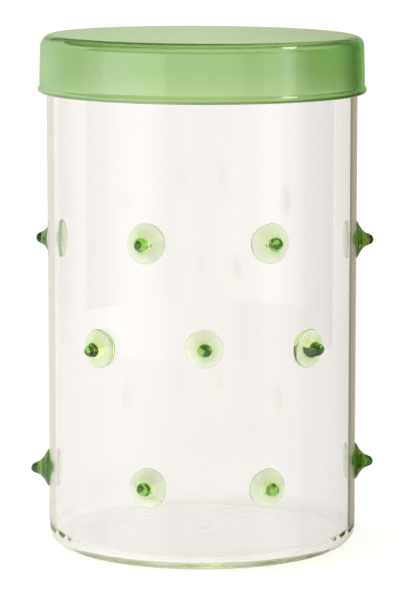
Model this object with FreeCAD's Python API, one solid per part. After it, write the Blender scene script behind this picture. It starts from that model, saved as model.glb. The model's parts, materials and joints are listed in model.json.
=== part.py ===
import FreeCAD, Part
import math
import os

# A lidded glass jar: a clear round vessel, a green cap that drops over its rim, and
# green studs fused to the outside of its wall. Millimetres, +Z up, front towards -Y.
# The origin is the centre of the flat base.

# Vessel
JAR_RADIUS = 50.0
JAR_HEIGHT = 163.35
JAR_WALL = 2.2
FLOOR_THICKNESS = 2.8
BASE_CORNER = 5.5
INNER_CORNER = 4.2

# Cap: one even wall, whose rounded inside corner clears the rim by 0.1 mm
RIM_GAP = 0.5
SIDE_CLEARANCE = 0.75
CAP_WALL = 1.65
CAP_TAPER = 0.35
CAP_SHOULDER = 4.0
CAP_INNER_CORNER = CAP_SHOULDER - CAP_WALL
CAP_DEPTH = 18.8
LIP_RADIUS = 1.15
LIP_INSET = 0.1

# Studs: each one is a round pad that runs up into a blunt nub
PAD_EDGE = 0.45
PAD_THICKNESS = 1.3
SHELF_RADIUS = 5.0
SWEEP_DIP = 0.35
NUB_RADIUS = 1.75
ROOT_DEPTH = 3.0

# Name, angle round the jar from the front in degrees, height, pad radius, stud height
STUDS = [
    ("stud_upper_left_side", -103.0, 98.0, 6.4, 5.7),
    ("stud_upper_front_left", -20.4, 103.4, 6.6, 6.0),
    ("stud_upper_front_right", 25.0, 103.3, 6.6, 5.6),
    ("stud_upper_right_side", 95.0, 98.4, 6.3, 6.0),
    ("stud_middle_left", -40.0, 69.2, 6.4, 6.0),
    ("stud_middle_front", 0.8, 70.9, 6.3, 5.8),
    ("stud_middle_right", 41.8, 69.2, 6.4, 6.2),
    ("stud_lower_left_side", -93.0, 23.2, 6.4, 6.2),
    ("stud_lower_front_left", -19.8, 26.6, 6.4, 5.8),
    ("stud_lower_front_right", 24.2, 26.3, 6.3, 5.8),
    ("stud_lower_right_side", 93.0, 25.4, 6.3, 6.1),
]


def point(radius, height):
    """A point of an outline, in the plane through the jar's axis."""
    return FreeCAD.Vector(radius, 0, height)


def line(start, end):
    return Part.LineSegment(point(*start), point(*end)).toShape()


def on_circle(centre, radius, degrees):
    angle = math.radians(degrees)
    return (
        centre[0] + radius * math.cos(angle),
        centre[1] + radius * math.sin(angle),
    )


def bend(start, middle, end):
    """A round edge through three points of an outline."""
    return Part.Arc(point(*start), point(*middle), point(*end)).toShape()


def arc(centre, radius, start, end):
    """An edge round a centre, from one angle to another in degrees."""
    return bend(*[on_circle(centre, radius, angle) for angle in (start, (start + end) / 2, end)])


def turned(edges):
    """The solid made by turning a closed half outline round the jar's axis."""
    face = Part.Face(Part.Wire(edges))
    return face.revolve(FreeCAD.Vector(0, 0, 0), FreeCAD.Vector(0, 0, 1), 360)


def jar_body():
    """Wall and floor in one piece, with a fire-rounded rim and a heavy lower corner."""
    inside = JAR_RADIUS - JAR_WALL
    rim = JAR_WALL / 2
    rim_centre = (JAR_RADIUS - rim, JAR_HEIGHT - rim)
    corner = (JAR_RADIUS - BASE_CORNER, BASE_CORNER)
    inner = (inside - INNER_CORNER, FLOOR_THICKNESS + INNER_CORNER)
    return turned([
        line((0, 0), (corner[0], 0)),
        arc(corner, BASE_CORNER, -90, 0),
        line((JAR_RADIUS, corner[1]), (JAR_RADIUS, rim_centre[1])),
        arc(rim_centre, rim, 0, 180),
        line((inside, rim_centre[1]), (inside, inner[1])),
        arc(inner, INNER_CORNER, 0, -90),
        line((inner[0], FLOOR_THICKNESS), (0, FLOOR_THICKNESS)),
        line((0, FLOOR_THICKNESS), (0, 0)),
    ])


def lid():
    """A cap with a flat top, a round shoulder, a slightly flared skirt and a bead lip."""
    inside = JAR_RADIUS + SIDE_CLEARANCE
    outside = inside + CAP_WALL
    underside = JAR_HEIGHT + RIM_GAP
    top = underside + CAP_WALL
    shoulder = (outside - CAP_TAPER - CAP_SHOULDER, top - CAP_SHOULDER)
    lip = (inside - LIP_INSET + LIP_RADIUS, top - CAP_DEPTH + LIP_RADIUS)
    outer_angle = math.degrees(math.acos((outside - lip[0]) / LIP_RADIUS))
    inner_angle = math.degrees(math.acos((inside - lip[0]) / LIP_RADIUS))
    outer_join = on_circle(lip, LIP_RADIUS, outer_angle)
    inner_join = on_circle(lip, LIP_RADIUS, inner_angle)
    return turned([
        line((0, top), (shoulder[0], top)),
        arc(shoulder, CAP_SHOULDER, 90, 0),
        line((shoulder[0] + CAP_SHOULDER, shoulder[1]), outer_join),
        arc(lip, LIP_RADIUS, outer_angle, inner_angle - 360),
        line(inner_join, (shoulder[0] + CAP_INNER_CORNER, shoulder[1])),
        arc(shoulder, CAP_INNER_CORNER, 0, 90),
        line((shoulder[0], underside), (0, underside)),
        line((0, underside), (0, top)),
    ])


def stud(angle, height, pad_radius, length):
    """A pad with a rounded edge and a shelf that sweeps up to a round-ended nub.
    It is made standing on the jar's axis, laid over, and cut back to the jar's wall."""
    shelf = (SHELF_RADIUS, PAD_THICKNESS)
    nub_centre = (0, length - NUB_RADIUS)
    neck = (NUB_RADIUS, nub_centre[1])
    brow = ((pad_radius + shelf[0]) / 2, PAD_THICKNESS - PAD_EDGE / 2)
    sweep = ((shelf[0] + neck[0]) / 2 - SWEEP_DIP, (shelf[1] + neck[1]) / 2 - SWEEP_DIP)
    outline = turned([
        line((0, -ROOT_DEPTH), (pad_radius, -ROOT_DEPTH)),
        line((pad_radius, -ROOT_DEPTH), (pad_radius, PAD_EDGE)),
        bend((pad_radius, PAD_EDGE), brow, shelf),
        bend(shelf, sweep, neck),
        arc(nub_centre, NUB_RADIUS, 0, 90),
        line((0, length), (0, -ROOT_DEPTH)),
    ])
    outline.rotate(FreeCAD.Vector(0, 0, 0), FreeCAD.Vector(1, 0, 0), 90)
    outline.translate(FreeCAD.Vector(0, -JAR_RADIUS, height))
    outline.rotate(FreeCAD.Vector(0, 0, 0), FreeCAD.Vector(0, 0, 1), angle)
    return outline.cut(Part.makeCylinder(JAR_RADIUS, JAR_HEIGHT))


def save(name, shape):
    solid = shape.Solids[0]
    solid.exportStep("parts/" + name + ".step")
    box = solid.BoundBox
    print(name, solid.isValid(), len(shape.Solids), round(solid.Volume), box)


os.makedirs("parts", exist_ok=True)
save("jar_body", jar_body())
save("lid", lid())
for name, angle, height, pad_radius, length in STUDS:
    save(name, stud(angle, height, pad_radius, length))
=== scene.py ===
import json
import math
import random

import bpy
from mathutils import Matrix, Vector


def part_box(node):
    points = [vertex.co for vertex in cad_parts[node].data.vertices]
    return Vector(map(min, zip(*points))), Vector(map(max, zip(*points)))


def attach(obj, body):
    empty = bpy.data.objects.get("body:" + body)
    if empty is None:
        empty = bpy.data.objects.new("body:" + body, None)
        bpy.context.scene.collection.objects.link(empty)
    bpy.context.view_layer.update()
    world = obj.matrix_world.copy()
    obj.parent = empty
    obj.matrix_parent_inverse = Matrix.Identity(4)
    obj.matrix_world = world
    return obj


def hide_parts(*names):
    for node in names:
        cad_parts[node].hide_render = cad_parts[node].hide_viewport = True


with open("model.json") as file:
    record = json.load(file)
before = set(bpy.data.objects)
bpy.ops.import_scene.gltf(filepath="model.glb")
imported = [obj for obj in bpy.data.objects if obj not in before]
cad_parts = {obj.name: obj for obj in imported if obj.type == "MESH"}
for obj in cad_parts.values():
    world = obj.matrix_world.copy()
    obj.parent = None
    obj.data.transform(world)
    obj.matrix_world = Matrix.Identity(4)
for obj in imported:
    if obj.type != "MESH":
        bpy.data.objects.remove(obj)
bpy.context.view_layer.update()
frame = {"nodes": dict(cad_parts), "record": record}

MM = 0.001

# Sizes of the blown shapes, read from the frame or given in metres
JAR_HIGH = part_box("jar_body")[1]
LID_LOW, LID_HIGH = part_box("lid")
JAR_RADIUS = JAR_HIGH.x
JAR_RIM = JAR_HIGH.z
LID_TOP = LID_HIGH.z
LIP_BOTTOM = LID_LOW.z
WALL = 2.2 * MM
FLOOR = 2.8 * MM
BASE_CORNER = 5.5 * MM
INNER_CORNER = 4.2 * MM
LID_WALL = 1.65 * MM
LID_UNDERSIDE = LID_TOP - LID_WALL
LID_INSIDE = JAR_RADIUS + 0.75 * MM
LID_OUTSIDE = LID_INSIDE + LID_WALL
LID_TAPER = 0.35 * MM
LID_SHOULDER = 4.0 * MM
LID_INNER_CORNER = LID_SHOULDER - LID_WALL
LIP_RADIUS = 1.15 * MM
LIP_INSET = 0.1 * MM

ROUND_STEPS = 360
STUD_STEPS = 72


# ---------------------------------------------------------------- outlines

def straight(start, end, steps):
    """Points from start to just short of end."""
    return [
        tuple(a + (b - a) * i / steps for a, b in zip(start, end))
        for i in range(steps)
    ]


def rounded(centre, radius, start, end, steps):
    """Points of an arc, angles in degrees, both ends included."""
    spots = []
    for i in range(steps + 1):
        angle = math.radians(start + (end - start) * i / steps)
        spots.append((centre[0] + radius * math.cos(angle), centre[1] + radius * math.sin(angle)))
    return spots


def smooth_curve(spots, steps):
    """Points of a Catmull-Rom curve through a few chosen points."""
    padded = [spots[0], *spots, spots[-1]]
    out = []
    for a, b, c, d in zip(padded, padded[1:], padded[2:], padded[3:]):
        for i in range(steps):
            t = i / steps
            out.append(tuple(
                0.5 * (2 * q + (r - p) * t + (2 * p - 5 * q + 4 * r - s) * t ** 2
                       + (3 * q - p - 3 * r + s) * t ** 3)
                for p, q, r, s in zip(a, b, c, d)
            ))
    return [*out, spots[-1]]


# ---------------------------------------------------------------- meshes

def piece(name, points, faces):
    """A smooth mesh object from points and faces."""
    mesh = bpy.data.meshes.new(name)
    mesh.from_pydata(points, [], faces)
    mesh.validate()
    for face in mesh.polygons:
        face.use_smooth = True
    made = bpy.data.objects.new(name, mesh)
    bpy.context.scene.collection.objects.link(made)
    return made


def closed_skin(rings, steps):
    """Faces between rings of points, and a fan at each end. The middle points of the
    two fans follow the last ring's points."""
    faces = []
    for ring in range(rings - 1):
        low, high = ring * steps, (ring + 1) * steps
        for i in range(steps):
            j = (i + 1) % steps
            faces.append((low + i, low + j, high + j, high + i))
    top = (rings - 1) * steps
    first, last = rings * steps, rings * steps + 1
    for i in range(steps):
        j = (i + 1) % steps
        faces.append((first, j, i))
        faces.append((last, top + i, top + j))
    return faces


def lathe(name, outline, place):
    """Turns an outline that runs anticlockwise from the axis back to the axis. place
    gives a point's place from its radius, its height and its angle."""
    ends = outline[0], outline[-1]
    rings = outline[1:-1]
    turn = [2 * math.pi * i / ROUND_STEPS for i in range(ROUND_STEPS)]
    points = [place(r, z, angle) for r, z in rings for angle in turn]
    points += [place(0, end[1], 0) for end in ends]
    return piece(name, points, closed_skin(len(rings), ROUND_STEPS))


# Waves in a blown wall: how many go round it, and how far each one turns with every
# metre of height
WAVES = ((2, 0.0), (3, 21.0), (5, 34.0))


def ripple(angle, height, size, seed):
    """The slow unevenness that blowing and turning leave in a glass wall."""
    draw = random.Random(seed)
    total = 0.0
    for count, twist in WAVES:
        total += math.sin(count * angle + twist * height + draw.uniform(0, 2 * math.pi)) / count
    return size * total


# ---------------------------------------------------------------- the vessel

# How far the middle of the base is hollowed, and how far the middle of the floor swells
BASE_HOLLOW = 0.35 * MM
FLOOR_SWELL = 0.55 * MM

# A faint half ring in the glass of the floor, a little off the middle, and a dimple
RIDGE_RADIUS = 31.5 * MM
RIDGE_AHEAD = 2.5 * MM
RIDGE_WIDTH = 1.2 * MM
RIDGE_HEIGHT = 0.06 * MM
DIMPLE_RADIUS = 3.2 * MM
DIMPLE_DEPTH = 0.2 * MM

# The floor's upper face is all under this height
FLOOR_FACE = FLOOR * 1.01

# Size and seed of the waves in the wall's outside, and of those added to its inside.
# They start at the lower corner and are full this far above it
OUTER_RIPPLE = (0.03 * MM, 4)
INNER_RIPPLE = (0.02 * MM, 9)
RIPPLE_RISE = 20 * MM


def jar_outline():
    """Each stretch ends with its number of steps."""
    inside = JAR_RADIUS - WALL
    rim = WALL / 2
    corner = (JAR_RADIUS - BASE_CORNER, BASE_CORNER)
    inner = (inside - INNER_CORNER, FLOOR + INNER_CORNER)
    return [
        *straight((0, 0), (corner[0], 0), 10),
        *rounded(corner, BASE_CORNER, -90, 0, 28),
        *straight((JAR_RADIUS, corner[1]), (JAR_RADIUS, JAR_RIM - rim), 24)[1:],
        *rounded((JAR_RADIUS - rim, JAR_RIM - rim), rim, 0, 180, 14),
        *straight((inside, JAR_RIM - rim), (inside, inner[1]), 24)[1:],
        *rounded(inner, INNER_CORNER, 0, -90, 24),
        *straight((inner[0], FLOOR), (0, FLOOR), 90)[1:],
        (0, FLOOR),
    ]


def floor_ridge(radius, angle):
    """How far the half ring stands up: only on the far side, and softly."""
    ring = math.hypot(radius * math.sin(angle), radius * math.cos(angle) - RIDGE_AHEAD)
    far_side = max(0.0, -math.cos(angle)) ** 0.5
    return RIDGE_HEIGHT * far_side * math.exp(-((ring - RIDGE_RADIUS) / RIDGE_WIDTH) ** 2)


def jar_place(radius, height, angle):
    """Blown glass: a hardly uneven wall, a base hollowed a little and a floor that swells."""
    inward = max(0.0, 1 - radius / (JAR_RADIUS - BASE_CORNER))
    swell = inward * inward * (3 - 2 * inward)
    if height < FLOOR / 2:
        height += BASE_HOLLOW * swell
    elif height < FLOOR_FACE:
        height += FLOOR_SWELL * swell
        height -= DIMPLE_DEPTH * math.exp(-(radius / DIMPLE_RADIUS) ** 2)
        height += floor_ridge(radius, angle)
    standing = min(1.0, max(0.0, (height - BASE_CORNER) / RIPPLE_RISE))
    off = ripple(angle, height, *OUTER_RIPPLE) * standing
    if radius < JAR_RADIUS - WALL / 2:
        off += ripple(angle, height, *INNER_RIPPLE) * standing
    reach = radius + off
    return (reach * math.sin(angle), -reach * math.cos(angle), height)


# ---------------------------------------------------------------- the cap

# The slope of the cap's top, down to the right. Its lip has half of that, which fades
# out this far up the skirt
LID_LEAN = 0.0055
LIP_LEAN_RISE = 6 * MM

# Size and seed of the waves in the cap
LID_RIPPLE = (0.03 * MM, 15)

# The cap's inner faces are all under this height and within this radius
HOLLOW_TOP = LID_UNDERSIDE + 0.25 * MM
HOLLOW_RADIUS = LID_INSIDE + 0.3 * MM


def lid_outline():
    """Each stretch ends with its number of steps."""
    shoulder = (LID_OUTSIDE - LID_TAPER - LID_SHOULDER, LID_TOP - LID_SHOULDER)
    lip = (LID_INSIDE - LIP_INSET + LIP_RADIUS, LIP_BOTTOM + LIP_RADIUS)
    turn_out = math.degrees(math.acos((LID_OUTSIDE - lip[0]) / LIP_RADIUS))
    turn_in = math.degrees(math.acos((LID_INSIDE - lip[0]) / LIP_RADIUS))
    bead = rounded(lip, LIP_RADIUS, turn_out, turn_in - 360, 26)
    from_the_top = [
        *straight((0, LID_TOP), (shoulder[0], LID_TOP), 14),
        *rounded(shoulder, LID_SHOULDER, 90, 0, 22),
        *straight((shoulder[0] + LID_SHOULDER, shoulder[1]), bead[0], 12)[1:],
        *bead,
        *straight(bead[-1], (shoulder[0] + LID_INNER_CORNER, shoulder[1]), 12)[1:],
        *rounded(shoulder, LID_INNER_CORNER, 0, 90, 18),
        *straight((shoulder[0], LID_UNDERSIDE), (0, LID_UNDERSIDE), 12)[1:],
        (0, LID_UNDERSIDE),
    ]
    return from_the_top[::-1]


def lid_place(radius, height, angle):
    """Hand-made: the top isn't quite level, and the skirt and lip aren't quite round."""
    across = radius * math.sin(angle)
    top_share = min(1.0, max(0.0, (height - LID_UNDERSIDE) / LID_WALL))
    lip_share = min(1.0, max(0.0, (LIP_BOTTOM + LIP_LEAN_RISE - height) / LIP_LEAN_RISE))
    height -= LID_LEAN * (across + JAR_RADIUS) * top_share
    height -= LID_LEAN / 2 * across * lip_share
    reach = radius + ripple(angle, height, *LID_RIPPLE) * min(1.0, radius / JAR_RADIUS)
    return (reach * math.sin(angle), -reach * math.cos(angle), height)


def mark_cap(made):
    """Notes which points are on the cap's inner faces, and which on the outside of its
    skirt."""
    inside = made.data.attributes.new("inside", "FLOAT", "POINT")
    skirt = made.data.attributes.new("skirt", "FLOAT", "POINT")
    for number, vertex in enumerate(made.data.vertices):
        within = vertex.co.xy.length < HOLLOW_RADIUS
        inside.data[number].value = 1.0 if within and vertex.co.z < HOLLOW_TOP else 0.0
        skirt.data[number].value = 0.0 if within else 1.0


# ---------------------------------------------------------------- the studs

# Radius and height of the stud's skin as shares of the pad's radius and the tip's height
STUD_SKIN = [
    (1.0, 0.03),
    (0.975, 0.085),
    (0.90, 0.14),
    (0.76, 0.215),
    (0.60, 0.32),
    (0.46, 0.44),
    (0.37, 0.56),
    (0.325, 0.66),
    (0.305, 0.73),
]

# The nub's round end: its radius as a share of the pad's, and its arc in degrees, from
# just past the join to just short of the tip
NUB_SHARE = 0.28
NUB_ARC = (4, 88)

# The root that is fused into the wall: its depth, then its rings as shares of the pad's
# radius and of that depth
ROOT = 0.12 * MM
ROOT_RINGS = [(0.5, 1.0), (0.96, 1.0), (0.995, 0.5)]

# Limits of the draws that make every stud a little different: how far its tip leans
# aside and up, how oval it is, and the depth of its dents with the number round it
LEAN_ASIDE = (-0.35, 0.35)
LEAN_UP = (-0.35, 0.15)
OVAL = (0.0, 0.03)
DENT = (0.004, 0.014)
DENT_COUNTS = (2, 3, 5)

# The nub's painted shade and painted glints start at this share of the pad's radius and
# are full this much further in
CORE_SHARE = 0.37
CORE_FADE = 0.04


def stud_facts(node):
    """Where a CAD stud stands on the wall: its angle, height, pad radius and length."""
    low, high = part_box(node)
    tip = max((v.co for v in frame["nodes"][node].data.vertices), key=lambda p: p.xy.length)
    angle = math.atan2(tip.x, -tip.y)
    return angle, (low.z + high.z) / 2, (high.z - low.z) / 2, tip.xy.length - JAR_RADIUS


def stud(name, node, seed):
    """A blob of glass pressed on the wall and drawn out to a nub. The pad follows the
    wall, and its root goes a little way into it, because the two are fused."""
    angle, height, pad, length = stud_facts(node)
    draw = random.Random(seed)
    nub = NUB_SHARE * pad
    skin = smooth_curve([(r * pad, h * length) for r, h in STUD_SKIN], 4)
    skin += rounded((0, length - nub), nub, *NUB_ARC, 12)
    lean = draw.uniform(*LEAN_ASIDE) * MM, draw.uniform(*LEAN_UP) * MM
    oval, oval_turn = draw.uniform(*OVAL), draw.uniform(0, math.pi)
    dents = [(k, draw.uniform(*DENT), draw.uniform(0, 2 * math.pi)) for k in DENT_COUNTS]

    def spot(radius, out, turn):
        share = radius / pad
        uneven = 1 - oval * (1 - math.cos(2 * (turn - oval_turn))) / 2
        uneven -= sum(size * (1 + math.sin(k * turn + phase)) for k, size, phase in dents) * share
        rise = max(0.0, out) / length
        side = radius * uneven * math.cos(turn) + lean[0] * rise ** 2
        up = radius * uneven * math.sin(turn) + lean[1] * rise ** 2
        at = angle + side / JAR_RADIUS
        reach = JAR_RADIUS + out
        return (reach * math.sin(at), -reach * math.cos(at), height + up)

    rings = [*[(pad * r, -ROOT * depth) for r, depth in ROOT_RINGS], *skin]
    turns = [2 * math.pi * i / STUD_STEPS for i in range(STUD_STEPS)]
    points = [spot(r, out, turn) for r, out in rings for turn in turns]
    points += [spot(0, -ROOT, 0), spot(0, length, 0)]
    made = piece(name, points, closed_skin(len(rings), STUD_STEPS))
    # Marks the nub's middle, where its painted shade and painted glints go
    mark_nub_shade_and_glints(made, [(CORE_SHARE - r / pad) / CORE_FADE if out > 0 else 0.0 for r, out in rings])
    return made


def mark_nub_shade_and_glints(made, shares):
    """Notes how much of each ring has the nub's painted shade and painted glints. The last
    two points are the middles of the back and of the tip."""
    limited = [min(1.0, max(0.0, share)) for share in shares]
    note = made.data.attributes.new("nub_shade_and_glints", "FLOAT", "POINT")
    note.data.foreach_set("value", [*[share for share in limited for _ in range(STUD_STEPS)], 0.0, 1.0])


# ---------------------------------------------------------------- material nodes

def noise(tree, place, scale, detail):
    """A noise fixed to the object."""
    made = tree.nodes.new("ShaderNodeTexNoise")
    made.inputs["Scale"].default_value = scale
    made.inputs["Detail"].default_value = detail
    tree.links.new(place, made.inputs["Vector"])
    return made.outputs["Fac"]


def ranged(tree, value, low, high, full=1.0):
    """0 up to low, full from high on, and even between them."""
    made = tree.nodes.new("ShaderNodeMapRange")
    made.inputs["From Min"].default_value = low
    made.inputs["From Max"].default_value = high
    made.inputs["To Max"].default_value = full
    tree.links.new(value, made.inputs["Value"])
    return made.outputs["Result"]


def mixed(tree, share, first, second):
    """A mix of two colours, each a tuple or another node's output."""
    made = tree.nodes.new("ShaderNodeMix")
    made.data_type = "RGBA"
    tree.links.new(share, made.inputs["Factor"])
    for socket, colour in (("A", first), ("B", second)):
        if isinstance(colour, tuple):
            made.inputs[socket].default_value = (*colour, 1)
        else:
            tree.links.new(colour, made.inputs[socket])
    return made.outputs["Result"]


def noted(tree, name):
    """What the mesh's own note says."""
    made = tree.nodes.new("ShaderNodeAttribute")
    made.attribute_name = name
    return made.outputs["Fac"]


# ---------------------------------------------------------------- materials

# Scale and detail of the noises: colour streaks, the nub's painted shade and glints, the
# smears where the polish is rubbed, and the slow waves of the surface
STREAKS = (35.0, 2.0)
NUB_SHADE_GLINT_NOISE = (420.0, 0.0)
SMEARS = (60.0, 5.0)
SURFACE = (90.0, 1.0)

# Where in its noise the nub turns from painted shade to painted glint, and where a smear
# starts and is full
NUB_SHADE_GLINT_EDGE = (0.44, 0.56)
SMEAR_EDGE = (0.55, 0.85)

COAT_IOR = 1.5


def glass(name, tints, absorbed, density, ripple_size, rub, ior=1.48, satin=0.0, nub_shade_and_glints=None):
    """Clear or coloured blown glass: tints are two near-white surface colours, and
    absorbed is the colour that a thick piece keeps. rub is the roughness of a full
    smear. satin is the roughness of the faces marked as inside, with a clear coat on
    those marked as skirt. The nub's two colours, on the faces marked for them, are its
    painted shade and its painted glints, mixed by noise."""
    mat = bpy.data.materials.new(name)
    mat.use_nodes = True
    tree = mat.node_tree
    shader = tree.nodes["Principled BSDF"]
    shader.inputs["Transmission Weight"].default_value = 1.0
    shader.inputs["IOR"].default_value = ior
    place = tree.nodes.new("ShaderNodeTexCoord").outputs["Object"]

    colour = mixed(tree, noise(tree, place, *STREAKS), *tints)
    # On the nub: painted shade and painted glints, mixed by noise
    if nub_shade_and_glints:
        glint_share = ranged(tree, noise(tree, place, *NUB_SHADE_GLINT_NOISE), *NUB_SHADE_GLINT_EDGE)
        colour = mixed(tree, noted(tree, "nub_shade_and_glints"), colour, mixed(tree, glint_share, *nub_shade_and_glints))
    tree.links.new(colour, shader.inputs["Base Color"])

    roughness = ranged(tree, noise(tree, place, *SMEARS), *SMEAR_EDGE, rub)
    if satin:
        dull = tree.nodes.new("ShaderNodeMath")
        dull.operation = "MULTIPLY_ADD"
        dull.inputs[1].default_value = satin
        tree.links.new(noted(tree, "inside"), dull.inputs[0])
        tree.links.new(roughness, dull.inputs[2])
        roughness = dull.outputs["Value"]
        tree.links.new(noted(tree, "skirt"), shader.inputs["Coat Weight"])
        shader.inputs["Coat Roughness"].default_value = 0.0
        shader.inputs["Coat IOR"].default_value = COAT_IOR
    tree.links.new(roughness, shader.inputs["Roughness"])

    bump = tree.nodes.new("ShaderNodeBump")
    bump.inputs["Strength"].default_value = 1.0
    bump.inputs["Distance"].default_value = ripple_size
    tree.links.new(noise(tree, place, *SURFACE), bump.inputs["Height"])
    tree.links.new(bump.outputs["Normal"], shader.inputs["Normal"])

    depth = tree.nodes.new("ShaderNodeVolumeAbsorption")
    depth.inputs["Color"].default_value = (*absorbed, 1)
    depth.inputs["Density"].default_value = density
    tree.links.new(depth.outputs["Volume"], tree.nodes["Material Output"].inputs["Volume"])
    return mat


def clear_glass():
    return glass(
        "clear_glass",
        tints=((0.908, 0.898, 0.900), (0.895, 0.883, 0.884)),
        absorbed=(0.88, 0.86, 0.76),
        density=14,
        ripple_size=0.004 * MM,
        rub=0.02,
    )


def green_lid_glass():
    return glass(
        "green_glass_lid",
        tints=((0.82, 0.945, 0.665), (0.78, 0.925, 0.625)),
        absorbed=(0.45, 0.73, 0.10),
        density=390,
        ripple_size=0.006 * MM,
        rub=0.03,
        ior=1.55,
        satin=0.39,
    )


def green_stud_glass(name, absorbed, density):
    return glass(
        name,
        tints=((1.0, 1.0, 1.0), (0.98, 1.0, 0.97)),
        absorbed=absorbed,
        density=density,
        ripple_size=0.01 * MM,
        rub=0.03,
        # The nub's painted shade, a near-black green for its thick glass and for the shade that
        # refraction gives it, and its painted glints, a light green
        nub_shade_and_glints=((0.004, 0.04, 0.001), (0.22, 0.52, 0.08)),
    )


def front_stud_glass():
    return green_stud_glass("green_glass_stud", (0.72, 0.91, 0.20), 220)


def shaded_side_stud_glass():
    """A darker copy of the stud glass, a painted shade for the studs that are seen edge on: it stands
    for the darkness that light passing through them edge on gives.
    """
    return green_stud_glass("green_glass_stud_painted_shade", (0.58, 0.785, 0.16), 620)


# ---------------------------------------------------------------- the studio

WHITE = (1.0, 1.0, 1.0)

# The floor: how far it reaches each way, how far under the base it lies, its specks with
# their two tones, and the light of its own that it gives
FLOOR_REACH = 9.0
FLOOR_DROP = 0.25 * MM
FLOOR_SPECK = 40.0
FLOOR_TONES = ((0.8, 0.8, 0.8), (0.82, 0.82, 0.82))
FLOOR_LIGHT = 0.735
FLOOR_GLOW = (1.0, 0.985, 0.935)

# The sky's strength as a light, in a reflection, and where it is looked at
SKY_LIGHT = 0.30
SKY_REFLECTED = 0.10
SKY_SEEN = 1.1

# The sun's strength, how wide it looks, and the turn and height that it shines from, in
# degrees
SUN_STRENGTH = 0.55
SUN_WIDTH = 12.0
SUN_FROM = (-80.0, 85.0)

# Which rays see a card: those that some surface has reflected, or those that have
# passed through one wall of glass and no more
REFLECTED = ("Glossy Depth", "GREATER_THAN", 0.5)
THROUGH_ONE_WALL = ("Transmission Depth", "LESS_THAN", 2.5)

# A bent card has a new tone about every so many degrees
CARD_STEP = 3.0

# Tall panels round the jar. For each: the angle where it starts, the tones that it has
# from there evenly on to the next panel, and its colour. Those with the colour called
# behind are seen only by rays whose last meeting was a reflection. The last entry only
# says where the one before it ends
PANEL_RADIUS = 0.45
PANEL_LOW, PANEL_HIGH = -2.0, 0.30
PANEL_COLOURS = {
    "white": WHITE,
    "warm": (1.0, 0.985, 0.93),
    "behind": (0.88, 1.0, 0.69),
    "lime": (0.75, 1.0, 0.62),
    "leaf": (0.48, 1.0, 0.30),
}
PANELS = [
    (-180.0, [0.74, 0.72, 0.70], "behind"),
    (-150.0, [0.90, 0.98], "behind"),
    (-130.0, [0.84, 1.04, 1.32, 1.70, 2.05], "warm"),
    (-69.2, [2.40, 2.30, 2.10, 1.83], "white"),
    (-24.0, [1.37, 1.33, 1.15], "white"),
    (8.5, [1.30, 1.03], "warm"),
    (27.4, [0.74, 0.96], "warm"),
    (41.6, [1.22, 1.18, 0.82, 0.42], "warm"),
    (76.3, [0.0, 0.0], "white"),
    (112.0, [0.0, 0.0, 0.05], "behind"),
    (150.0, [0.12, 0.50, 0.74], "behind"),
    (180.0, [], ""),
]

# Soft strips nearer the jar, at the height of the cap. For each: the angle where it
# starts, its tones, the angle where it ends, and its colour
STRIPS = [
    (-150.0, [0.85, 1.28, 1.70, 1.80, 1.75], -88.0, "lime"),
    (50.0, [1.20, 1.45, 1.75, 1.75, 1.45, 1.20], 65.0, "white"),
    (76.3, [0.50, 0.65, 0.85, 0.80, 0.40, 0.10, 0.30, 0.50, 0.50], 159.0, "leaf"),
]
STRIP_RADIUS = 0.42
STRIP_LOW, STRIP_HIGH = 0.118, 0.40

# The soft box high on the right: places and size in metres, angles in degrees
BOX_TURN, BOX_RADIUS, BOX_HEIGHT = 87.0, 0.42, 0.66
BOX_SIZE = (0.09, 0.36)
BOX_ROLL = 51.0
BOX_LEAN = 50.0
BOX_STRENGTH = 5.0

# Side, angle from the front, and tone of the cards that draw the jar's edges. Each runs
# outwards from close to the wall, and up to just under the cap's lip
FLAGS = [
    ("right", 97.0, (0.42, 0.37, 0.29)),
    ("left", -97.0, (0.84, 0.80, 0.74)),
]
FLAG_INNER = JAR_RADIUS + 0.4 * MM
FLAG_OUTER = JAR_RADIUS + 12 * MM
FLAG_TOP = LIP_BOTTOM - 1 * MM


def around(turn, radius):
    """A spot on the floor, from its angle in degrees from the front."""
    turn = math.radians(turn)
    return radius * math.sin(turn), -radius * math.cos(turn)


def pale_floor():
    mat = bpy.data.materials.new("pale_floor")
    mat.use_nodes = True
    tree = mat.node_tree
    shader = tree.nodes["Principled BSDF"]
    shader.inputs["Roughness"].default_value = 1.0
    shader.inputs["Specular IOR Level"].default_value = 0.0
    speck = tree.nodes.new("ShaderNodeTexNoise")
    speck.inputs["Scale"].default_value = FLOOR_SPECK
    tree.links.new(mixed(tree, speck.outputs["Fac"], *FLOOR_TONES), shader.inputs["Base Color"])
    shader.inputs["Emission Color"].default_value = (*FLOOR_GLOW, 1)
    shader.inputs["Emission Strength"].default_value = FLOOR_LIGHT
    mat.cycles.emission_sampling = "NONE"
    return mat


def floor():
    reach = FLOOR_REACH
    corners = [(-reach, -reach), (reach, -reach), (reach, reach), (-reach, reach)]
    made = piece("floor", [(x, y, -FLOOR_DROP) for x, y in corners], [(0, 1, 2, 3)])
    made.data.materials.append(pale_floor())
    made.visible_glossy = False


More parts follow.
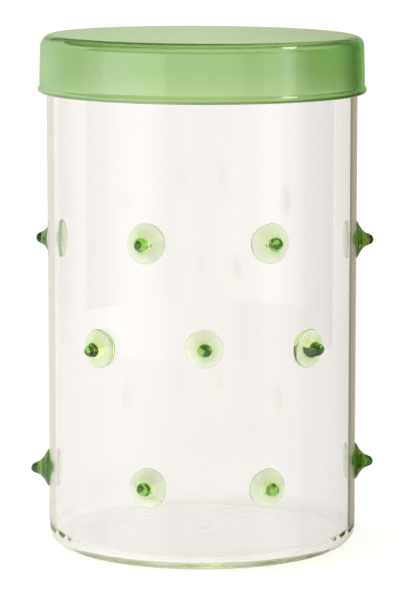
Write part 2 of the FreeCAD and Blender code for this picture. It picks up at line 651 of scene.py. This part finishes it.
def glow(name, colour, strength=None, shown=None):
    """A plain light. Without a strength it takes its tone from the mesh's own note.
    shown is a depth of the light path with a test of it, and rays that fail the test
    pass straight through."""
    mat = bpy.data.materials.new(name)
    mat.use_nodes = True
    tree = mat.node_tree
    tree.nodes.remove(tree.nodes["Principled BSDF"])
    light = tree.nodes.new("ShaderNodeEmission")
    light.inputs["Color"].default_value = (*colour, 1)
    if strength is None:
        tree.links.new(noted(tree, "tone"), light.inputs["Strength"])
    else:
        light.inputs["Strength"].default_value = strength
    result = light.outputs["Emission"]
    if shown:
        depth, operation, limit = shown
        rays = tree.nodes.new("ShaderNodeLightPath")
        test = tree.nodes.new("ShaderNodeMath")
        test.operation = operation
        test.inputs[1].default_value = limit
        clear = tree.nodes.new("ShaderNodeBsdfTransparent")
        mix = tree.nodes.new("ShaderNodeMixShader")
        tree.links.new(rays.outputs[depth], test.inputs[0])
        tree.links.new(test.outputs["Value"], mix.inputs["Fac"])
        tree.links.new(clear.outputs["BSDF"], mix.inputs[1])
        tree.links.new(result, mix.inputs[2])
        result = mix.outputs["Shader"]
    tree.links.new(result, tree.nodes["Material Output"].inputs["Surface"])
    mat.cycles.emission_sampling = "NONE"
    return mat


def light_card(made, mat, through=True):
    """A card that the camera doesn't see and that lights nothing. Reflections meet it,
    and with through so does what comes out of a piece of glass."""
    made.data.materials.append(mat)
    made.visible_camera = False
    made.visible_diffuse = False
    made.visible_shadow = False
    made.visible_volume_scatter = False
    made.visible_transmission = through


def screen(name, spots, low, high, mat, tones=None, through=True):
    """An upright card over a line on the floor."""
    points = [(x, y, z) for z in (low, high) for x, y in spots]
    count = len(spots)
    faces = [(i, i + 1, count + i + 1, count + i) for i in range(count - 1)]
    made = piece(name, points, faces)
    if tones:
        note = made.data.attributes.new("tone", "FLOAT", "POINT")
        note.data.foreach_set("value", [*tones, *tones])
    light_card(made, mat, through)


def bent_screen(name, radius, start, end, marks, low, high, mat, through):
    """A card bent round the jar whose tone follows the marks."""
    steps = max(2, round((end - start) / CARD_STEP))
    line, tones = [], []
    for i in range(steps + 1):
        line.append(around(start + (end - start) * i / steps, radius))
        at = (len(marks) - 1) * i / steps
        lower = min(int(at), len(marks) - 2)
        tones.append(marks[lower] + (marks[lower + 1] - marks[lower]) * (at - lower))
    screen(name, line, low, high, mat, tones, through)


def panels():
    lights = {}
    for name, colour in PANEL_COLOURS.items():
        lights[name] = glow("panel_" + name, colour, shown=REFLECTED)
    for number, (panel, following) in enumerate(zip(PANELS, PANELS[1:])):
        start, tones, colour = panel
        bent_screen("panel_%d" % number, PANEL_RADIUS, start, following[0], tones,
                    PANEL_LOW, PANEL_HIGH, lights[colour], colour != "behind")
    for number, (start, tones, end, colour) in enumerate(STRIPS):
        bent_screen("strip_%d" % number, STRIP_RADIUS, start, end, tones,
                    STRIP_LOW, STRIP_HIGH, lights[colour], False)


def box_light():
    roll = math.radians(BOX_ROLL)
    corners = []
    for x, z in ((-1, -1), (1, -1), (1, 1), (-1, 1)):
        x, z = x * BOX_SIZE[0] / 2, z * BOX_SIZE[1] / 2
        aside = x * math.cos(roll) + z * math.sin(roll)
        up = z * math.cos(roll) - x * math.sin(roll)
        corners.append((aside, 0, up))
    made = piece("box", corners, [(0, 1, 2, 3)])
    made.location = (*around(BOX_TURN, BOX_RADIUS), BOX_HEIGHT)
    made.rotation_euler = (math.radians(-BOX_LEAN), 0, math.radians(BOX_TURN))
    light_card(made, glow("box_light", WHITE, BOX_STRENGTH), False)


def flags():
    """Narrow cards beside the jar, edge on, that draw its two upright edges."""
    for side, turn, tone in FLAGS:
        line = [around(turn, radius) for radius in (FLAG_INNER, FLAG_OUTER)]
        mat = glow("flag_tone_" + side, tone, 1.0, THROUGH_ONE_WALL)
        screen("flag_" + side, line, 0.0, FLAG_TOP, mat)


def sky():
    """White where it is looked at, straight or through glass, dimmer as a light, and
    dimmest in a reflection."""
    world = bpy.data.worlds.new("sky")
    bpy.context.scene.world = world
    world.use_nodes = True
    nodes, links = world.node_tree.nodes, world.node_tree.links
    light = nodes["Background"]
    seen = nodes.new("ShaderNodeBackground")
    for background in (light, seen):
        background.inputs["Color"].default_value = (*WHITE, 1)
    seen.inputs["Strength"].default_value = SKY_SEEN
    rays = nodes.new("ShaderNodeLightPath")
    level = nodes.new("ShaderNodeMapRange")
    level.inputs["To Min"].default_value = SKY_LIGHT
    level.inputs["To Max"].default_value = SKY_REFLECTED
    links.new(rays.outputs["Is Glossy Ray"], level.inputs["Value"])
    links.new(level.outputs["Result"], light.inputs["Strength"])
    either = nodes.new("ShaderNodeMath")
    either.operation = "MAXIMUM"
    mix = nodes.new("ShaderNodeMixShader")
    links.new(rays.outputs["Is Camera Ray"], either.inputs[0])
    links.new(rays.outputs["Is Transmission Ray"], either.inputs[1])
    links.new(either.outputs["Value"], mix.inputs["Fac"])
    links.new(light.outputs["Background"], mix.inputs[1])
    links.new(seen.outputs["Background"], mix.inputs[2])
    links.new(mix.outputs["Shader"], nodes["World Output"].inputs["Surface"])


def sun():
    light = bpy.data.lights.new("sun", "SUN")
    light.energy = SUN_STRENGTH
    light.angle = math.radians(SUN_WIDTH)
    made = bpy.data.objects.new("sun", light)
    bpy.context.scene.collection.objects.link(made)
    turn, height = SUN_FROM
    level, up = math.cos(math.radians(height)), math.sin(math.radians(height))
    from_where = Vector((*around(turn, level), up))
    made.rotation_euler = from_where.to_track_quat("Z", "Y").to_euler()
    made.visible_glossy = False


# ---------------------------------------------------------------- the camera

# Places in metres, the tilt in degrees, and the lens and the sensor in millimetres
CAMERA_DISTANCE = 1.0
CAMERA_HEIGHT = 0.2249
CAMERA_ASIDE = -0.35 * MM
CAMERA_DOWN = 8.3
CAMERA_LENS = 186.6
CAMERA_SENSOR = 36


def camera():
    data = bpy.data.cameras.new("camera")
    data.lens = CAMERA_LENS
    data.sensor_width = CAMERA_SENSOR
    made = bpy.data.objects.new("camera", data)
    made.location = (CAMERA_ASIDE, -CAMERA_DISTANCE, CAMERA_HEIGHT)
    made.rotation_euler = (math.radians(90 - CAMERA_DOWN), 0, 0)
    bpy.context.scene.collection.objects.link(made)
    bpy.context.scene.camera = made


# ---------------------------------------------------------------- assembly

# How often light may bounce in the glass, and the most that one bounced ray may add
BOUNCES = 128
BRIGHTEST_BOUNCE = 6.0


def finish_piece(made, node, body, mat):
    made.data.materials.append(mat)
    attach(made, body)
    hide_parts(node)


camera()

jar = lathe("jar_glass", jar_outline(), jar_place)
finish_piece(jar, "jar_body", "jar", clear_glass())

cap = lathe("lid_glass", lid_outline(), lid_place)
mark_cap(cap)
finish_piece(cap, "lid", "cap", green_lid_glass())

front_glass = front_stud_glass()
shaded_side_glass = shaded_side_stud_glass()
stud_nodes = [s["node"] for s in frame["record"]["subparts"] if s["node"].startswith("stud_")]
for seed, node in enumerate(stud_nodes):
    made = stud(node.replace("stud", "nub"), node, seed)
    # Studs seen edge on take the darker copy of the stud glass, a painted shade
    mat = shaded_side_glass if node.endswith("_side") else front_glass
    finish_piece(made, node, "jar", mat)

floor()
panels()
box_light()
flags()
sky()
sun()

scene = bpy.context.scene
scene.view_settings.view_transform = "Standard"
scene.cycles.max_bounces = BOUNCES
scene.cycles.transmission_bounces = BOUNCES
scene.cycles.glossy_bounces = BOUNCES
scene.cycles.sample_clamp_indirect = BRIGHTEST_BOUNCE
